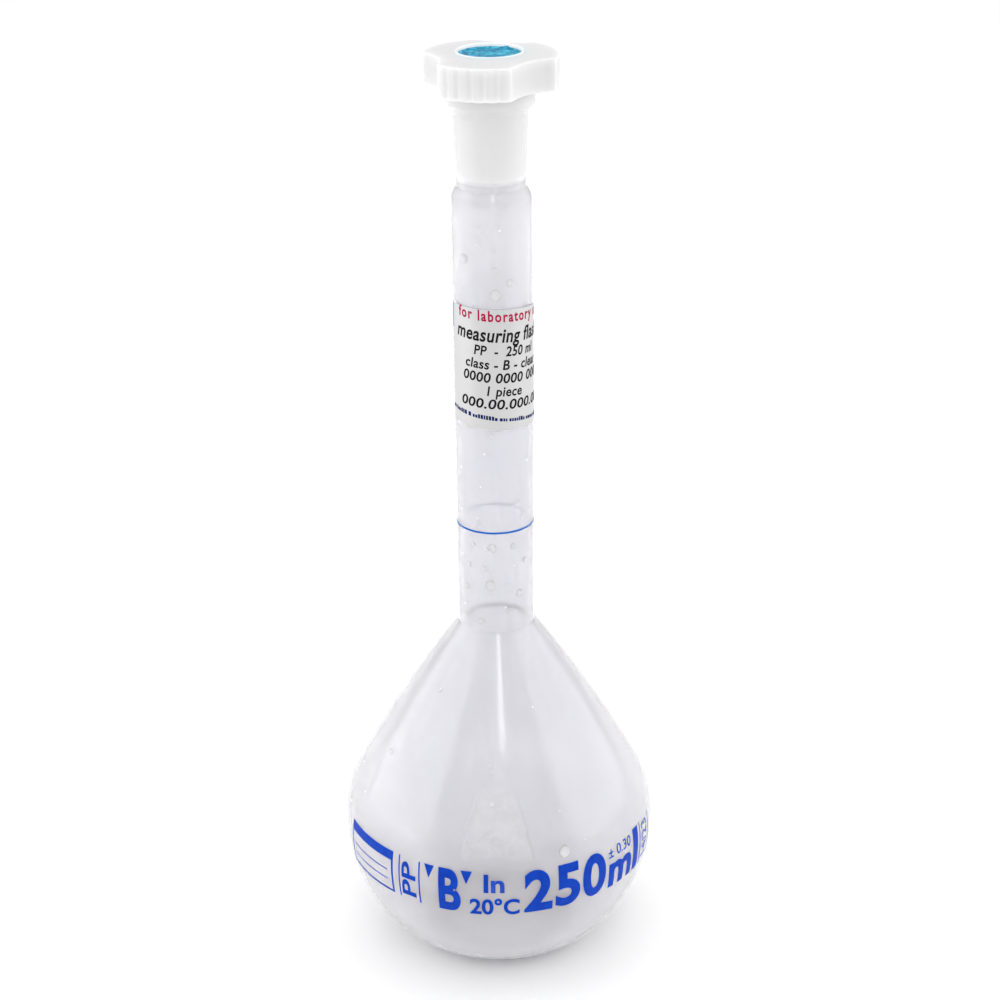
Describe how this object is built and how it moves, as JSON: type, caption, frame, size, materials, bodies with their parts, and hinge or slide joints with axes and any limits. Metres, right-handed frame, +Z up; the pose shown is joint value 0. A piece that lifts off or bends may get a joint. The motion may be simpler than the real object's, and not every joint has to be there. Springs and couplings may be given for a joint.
{
  "type": "volumetric flask",
  "caption": "Pear-shaped plastic volumetric flask with a long ring-marked neck, a tapered socket and a ribbed lobed stopper that lifts out.",
  "frame": {"origin": "centre of the standing face, on the flask's axis", "axes": "+Z up along the flask's axis, towards the stopper; -Y is the front, where the capacity is printed"},
  "size_m": [0.08, 0.08, 0.2333],
  "materials": {
    "clear_pp": "translucent, smooth moulded polypropylene",
    "white_pp": "milky white, satin moulded polypropylene",
    "teal_plastic": "rough torn-looking teal plastic",
    "label_film": "satin self-adhesive film",
    "blue_ink": "smooth printed ink",
    "black_ink": "black print on the label",
    "red_ink": "red print on the label",
    "navy_ink": "dark blue print on the label",
    "clear_water": "small drops of condensation"
  },
  "bodies": {
    "flask": {"flask_body": "clear_pp", "neck_label": "label_film", "ring_mark": "blue_ink"},
    "stopper": {"stopper": "white_pp", "colour_disc": "teal_plastic"}
  },
  "joints": [
    {"name": "stopper_lift", "type": "slide", "parent": "flask", "child": "stopper", "axis": [0, 0, 1], "range_m": [0, 0.045]}
  ]
}
